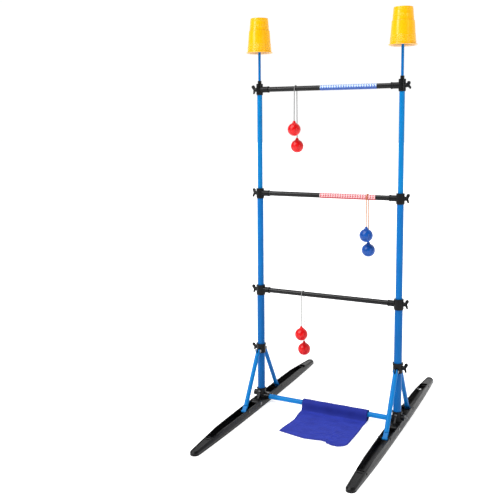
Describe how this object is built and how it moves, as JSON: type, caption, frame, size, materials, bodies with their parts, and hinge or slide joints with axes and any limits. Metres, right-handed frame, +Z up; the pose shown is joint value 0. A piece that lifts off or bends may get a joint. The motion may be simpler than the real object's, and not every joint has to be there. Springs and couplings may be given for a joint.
{
  "type": "ladder toss frame",
  "caption": "Free-standing ladder toss frame with telescoping uprights, folding foot rails, rungs, hanging bolas, target cups on rods and a cloth flap on the crossbar.",
  "frame": {"origin": "on the ground, midway between the two uprights", "axes": "+X along the rungs, +Y from the flap side to the rear, +Z up"},
  "size_m": [0.5374, 0.874, 1.234],
  "materials": {
    "black_plastic": "satin moulded plastic with a fine texture",
    "blue_paint": "bright blue powder coat, satin gloss",
    "black_paint": "black satin paint",
    "steel": "zinc-plated rivets and screws",
    "bush_plastic": "pale bushes inside the tubes",
    "yellow_plastic": "thin glossy cup, paler inside",
    "red_ball": "hard ball, light sheen",
    "blue_ball": "hard ball, light sheen",
    "white_cord": "braided cord",
    "orange_cord": "braided cord",
    "blue_cloth": "woven polyester",
    "red_band": "printed grip film, red with a pale pattern",
    "blue_band": "printed grip film, light blue with a pale pattern"
  },
  "bodies": {
    "base": {"hub_left": "black_plastic", "hub_right": "black_plastic", "crossbar": "blue_paint", "lower_tube_left": "blue_paint", "lower_tube_right": "blue_paint", "lower_clamp_left": "black_plastic", "lower_clamp_right": "black_plastic", "bottom_rung": "black_paint", "rail_hinge_pins": "steel", "base_screws": "steel"},
    "rail_front_left": {"rail_front_left": "black_plastic"},
    "rail_rear_left": {"rail_rear_left": "black_plastic"},
    "collar_left": {"collar_left": "black_plastic", "collar_pins_left": "steel"},
    "strut_front_left": {"strut_front_left": "blue_paint"},
    "strut_rear_left": {"strut_rear_left": "blue_paint"},
    "collar_knob_left": {"collar_knob_left": "black_plastic"},
    "lower_knob_left": {"lower_knob_left": "black_plastic"},
    "middle_knob_left": {"middle_knob_left": "black_plastic"},
    "top_knob_left": {"top_knob_left": "black_plastic"},
    "rail_front_right": {"rail_front_right": "black_plastic"},
    "rail_rear_right": {"rail_rear_right": "black_plastic"},
    "collar_right": {"collar_right": "black_plastic", "collar_pins_right": "steel"},
    "strut_front_right": {"strut_front_right": "blue_paint"},
    "strut_rear_right": {"strut_rear_right": "blue_paint"},
    "collar_knob_right": {"collar_knob_right": "black_plastic"},
    "lower_knob_right": {"lower_knob_right": "black_plastic"},
    "middle_knob_right": {"middle_knob_right": "black_plastic"},
    "top_knob_right": {"top_knob_right": "black_plastic"},
    "middle_stage": {"middle_tube_left": "blue_paint", "middle_tube_right": "blue_paint", "middle_bush_left": "bush_plastic", "middle_bush_right": "bush_plastic", "middle_clamp_left": "black_plastic", "middle_clamp_right": "black_plastic", "middle_rung": "black_paint", "middle_band": "red_band", "middle_screws": "steel"},
    "top_stage": {"upper_tube_left": "blue_paint", "upper_tube_right": "blue_paint", "upper_bush_left": "bush_plastic", "upper_bush_right": "bush_plastic", "top_connector_left": "black_plastic", "top_connector_right": "black_plastic", "top_rung": "black_paint", "top_band": "blue_band", "top_screws": "steel", "cup_rod_left": "blue_paint", "cup_rod_right": "blue_paint"},
    "cup_left": {"cup_left": "yellow_plastic"},
    "cup_right": {"cup_right": "yellow_plastic"},
    "top_bola": {"top_bola_balls": "red_ball", "top_bola_cord": "white_cord"},
    "middle_bola": {"middle_bola_balls": "blue_ball", "middle_bola_cord": "orange_cord"},
    "bottom_bola": {"bottom_bola_balls": "red_ball", "bottom_bola_cord": "white_cord"},
    "flap": {"flap": "blue_cloth"}
  },
  "joints": [
    {"name": "left_front_rail_fold", "type": "hinge", "parent": "base", "child": "rail_front_left", "pos_m": [-0.2265, -0.042, 0.012], "axis": [-1, 0, 0], "range_deg": [0, 86]},
    {"name": "left_rear_rail_fold", "type": "hinge", "parent": "base", "child": "rail_rear_left", "pos_m": [-0.2265, 0.042, 0.012], "axis": [1, 0, 0], "range_deg": [0, 86]},
    {"name": "left_collar_slide", "type": "slide", "parent": "base", "child": "collar_left", "axis": [0, 0, 1], "range_m": [0, 0.1115]},
    {"name": "left_front_strut_turn", "type": "hinge", "parent": "collar_left", "child": "strut_front_left", "pos_m": [-0.2265, -0.0225, 0.179], "axis": [1, 0, 0], "range_deg": [0, 25]},
    {"name": "left_rear_strut_turn", "type": "hinge", "parent": "collar_left", "child": "strut_rear_left", "pos_m": [-0.2265, 0.0225, 0.179], "axis": [-1, 0, 0], "range_deg": [0, 25]},
    {"name": "right_front_rail_fold", "type": "hinge", "parent": "base", "child": "rail_front_right", "pos_m": [0.2265, -0.042, 0.012], "axis": [-1, 0, 0], "range_deg": [0, 86]},
    {"name": "right_rear_rail_fold", "type": "hinge", "parent": "base", "child": "rail_rear_right", "pos_m": [0.2265, 0.042, 0.012], "axis": [1, 0, 0], "range_deg": [0, 86]},
    {"name": "right_collar_slide", "type": "slide", "parent": "base", "child": "collar_right", "axis": [0, 0, 1], "range_m": [0, 0.1115]},
    {"name": "right_front_strut_turn", "type": "hinge", "parent": "collar_right", "child": "strut_front_right", "pos_m": [0.2265, -0.0225, 0.179], "axis": [1, 0, 0], "range_deg": [0, 25]},
    {"name": "right_rear_strut_turn", "type": "hinge", "parent": "collar_right", "child": "strut_rear_right", "pos_m": [0.2265, 0.0225, 0.179], "axis": [-1, 0, 0], "range_deg": [0, 25]},
    {"name": "middle_stage_slide", "type": "slide", "parent": "base", "child": "middle_stage", "axis": [0, 0, 1], "range_m": [-0.12, 0]},
    {"name": "top_stage_slide", "type": "slide", "parent": "middle_stage", "child": "top_stage", "axis": [0, 0, 1], "range_m": [-0.115, 0]},
    {"name": "left_collar_knob_turn", "type": "hinge", "parent": "collar_left", "child": "collar_knob_left", "pos_m": [-0.2265, 0, 0.185], "axis": [1, 0, 0], "range_deg": [0, 180]},
    {"name": "left_lower_knob_turn", "type": "hinge", "parent": "base", "child": "lower_knob_left", "pos_m": [-0.2265, 0, 0.378], "axis": [1, 0, 0], "range_deg": [0, 180]},
    {"name": "left_middle_knob_turn", "type": "hinge", "parent": "middle_stage", "child": "middle_knob_left", "pos_m": [-0.2265, 0, 0.691], "axis": [1, 0, 0], "range_deg": [0, 180]},
    {"name": "left_top_knob_turn", "type": "hinge", "parent": "top_stage", "child": "top_knob_left", "pos_m": [-0.2265, 0, 1.016], "axis": [1, 0, 0], "range_deg": [0, 180]},
    {"name": "left_cup_lift", "type": "slide", "parent": "top_stage", "child": "cup_left", "axis": [0, 0, 1], "range_m": [0, 0.12]},
    {"name": "right_collar_knob_turn", "type": "hinge", "parent": "collar_right", "child": "collar_knob_right", "pos_m": [0.2265, 0, 0.185], "axis": [-1, 0, 0], "range_deg": [0, 180]},
    {"name": "right_lower_knob_turn", "type": "hinge", "parent": "base", "child": "lower_knob_right", "pos_m": [0.2265, 0, 0.378], "axis": [-1, 0, 0], "range_deg": [0, 180]},
    {"name": "right_middle_knob_turn", "type": "hinge", "parent": "middle_stage", "child": "middle_knob_right", "pos_m": [0.2265, 0, 0.691], "axis": [-1, 0, 0], "range_deg": [0, 180]},
    {"name": "right_top_knob_turn", "type": "hinge", "parent": "top_stage", "child": "top_knob_right", "pos_m": [0.2265, 0, 1.016], "axis": [-1, 0, 0], "range_deg": [0, 180]},
    {"name": "right_cup_lift", "type": "slide", "parent": "top_stage", "child": "cup_right", "axis": [0, 0, 1], "range_m": [0, 0.12]},
    {"name": "top_bola_swing", "type": "hinge", "parent": "top_stage", "child": "top_bola", "pos_m": [-0.104, 0, 1.016], "axis": [1, 0, 0], "range_deg": [-50, 50]},
    {"name": "middle_bola_swing", "type": "hinge", "parent": "middle_stage", "child": "middle_bola", "pos_m": [0.128, 0, 0.691], "axis": [1, 0, 0], "range_deg": [-50, 50]},
    {"name": "bottom_bola_swing", "type": "hinge", "parent": "base", "child": "bottom_bola", "pos_m": [-0.08, 0, 0.378], "axis": [1, 0, 0], "range_deg": [-50, 50]},
    {"name": "flap_lift", "type": "hinge", "parent": "base", "child": "flap", "pos_m": [0.03, 0, 0.023], "axis": [-1, 0, 0], "range_deg": [0, 90]}
  ],
  "couplings": [
    {"joint": "left_rear_rail_fold", "follows": "left_front_rail_fold", "ratio": 1},
    {"joint": "left_collar_slide", "follows": "left_front_rail_fold", "m_per_rad": 0.07393},
    {"joint": "left_front_strut_turn", "follows": "left_front_rail_fold", "ratio": 0.28825},
    {"joint": "left_rear_strut_turn", "follows": "left_front_rail_fold", "ratio": 0.28825},
    {"joint": "right_rear_rail_fold", "follows": "right_front_rail_fold", "ratio": 1},
    {"joint": "right_collar_slide", "follows": "right_front_rail_fold", "m_per_rad": 0.07393},
    {"joint": "right_front_strut_turn", "follows": "right_front_rail_fold", "ratio": 0.28825},
    {"joint": "right_rear_strut_turn", "follows": "right_front_rail_fold", "ratio": 0.28825}
  ]
}
